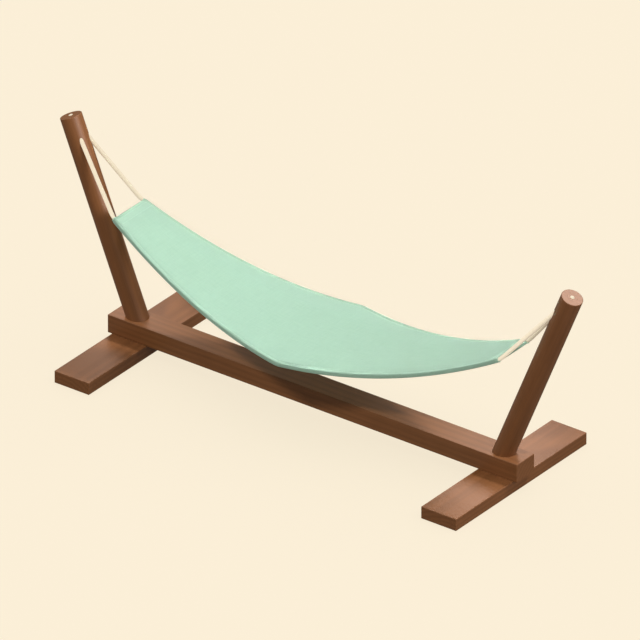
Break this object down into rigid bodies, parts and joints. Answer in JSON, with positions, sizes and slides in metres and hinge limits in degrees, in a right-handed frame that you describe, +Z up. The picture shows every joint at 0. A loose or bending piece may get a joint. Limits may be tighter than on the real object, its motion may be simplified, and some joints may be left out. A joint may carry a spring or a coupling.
{
  "type": "freestanding baby hammock",
  "caption": "Padded cloth baby hammock hung by cords from two leaning round posts, on a wooden beam with two cross feet; the bed swings from side to side.",
  "frame": {"origin": "on the floor, under the middle of the beam", "axes": "+X along the beam to the right-hand post, +Y to the rear, +Z up"},
  "size_m": [1.5142, 0.514, 0.5677],
  "materials": {
    "stained_wood": "satin brown stain",
    "beech_dowel": "plain",
    "cotton_canvas": "matt mint green weave",
    "polyester_wadding": "soft white",
    "cotton_rope": "natural cream, twisted",
    "zinc_plated_steel": "zinc plated",
    "brass": "plain"
  },
  "bodies": {
    "stand": {"base_beam": "stained_wood", "left_foot": "stained_wood", "left_post": "stained_wood", "left_post_peg": "beech_dowel", "left_post_cap": "stained_wood", "left_foot_bolts": "zinc_plated_steel", "left_foot_washers": "zinc_plated_steel", "left_foot_inserts": "brass", "left_rope_knot": "cotton_rope", "left_front_rope_lead": "cotton_rope", "left_rear_rope_lead": "cotton_rope", "right_foot": "stained_wood", "right_post": "stained_wood", "right_post_peg": "beech_dowel", "right_post_cap": "stained_wood", "right_foot_bolts": "zinc_plated_steel", "right_foot_washers": "zinc_plated_steel", "right_foot_inserts": "brass", "right_rope_knot": "cotton_rope", "right_front_rope_lead": "cotton_rope", "right_rear_rope_lead": "cotton_rope"},
    "hammock": {"bed_top_cover": "cotton_canvas", "bed_wadding": "polyester_wadding", "bed_bottom_panel": "cotton_canvas", "left_spreader_rod": "beech_dowel", "right_spreader_rod": "beech_dowel", "left_front_rope_tail": "cotton_rope", "left_rear_rope_tail": "cotton_rope", "right_front_rope_tail": "cotton_rope", "right_rear_rope_tail": "cotton_rope"},
    "left_front_cord": {"left_front_rope_span": "cotton_rope"},
    "left_rear_cord": {"left_rear_rope_span": "cotton_rope"},
    "right_front_cord": {"right_front_rope_span": "cotton_rope"},
    "right_rear_cord": {"right_rear_rope_span": "cotton_rope"}
  },
  "joints": [
    {"name": "hammock_swing", "type": "hinge", "parent": "stand", "child": "hammock", "pos_m": [0, 0, 0.558], "axis": [1, 0, 0], "range_deg": [-15, 15]},
    {"name": "left_front_cord_swing", "type": "hinge", "parent": "stand", "child": "left_front_cord", "pos_m": [-0.67697, -0.01844, 0.49233], "axis": [1, 0, 0], "range_deg": [-22.6, 22.6]},
    {"name": "left_rear_cord_swing", "type": "hinge", "parent": "stand", "child": "left_rear_cord", "pos_m": [-0.67697, 0.01844, 0.49233], "axis": [1, 0, 0], "range_deg": [-22.6, 22.6]},
    {"name": "right_front_cord_swing", "type": "hinge", "parent": "stand", "child": "right_front_cord", "pos_m": [0.67697, -0.01844, 0.49233], "axis": [1, 0, 0], "range_deg": [-22.6, 22.6]},
    {"name": "right_rear_cord_swing", "type": "hinge", "parent": "stand", "child": "right_rear_cord", "pos_m": [0.67697, 0.01844, 0.49233], "axis": [1, 0, 0], "range_deg": [-22.6, 22.6]}
  ],
  "couplings": [
    {"joint": "left_front_cord_swing", "follows": "hammock_swing", "ratio": 1.501},
    {"joint": "left_rear_cord_swing", "follows": "hammock_swing", "ratio": 1.501},
    {"joint": "right_front_cord_swing", "follows": "hammock_swing", "ratio": 1.501},
    {"joint": "right_rear_cord_swing", "follows": "hammock_swing", "ratio": 1.501}
  ]
}
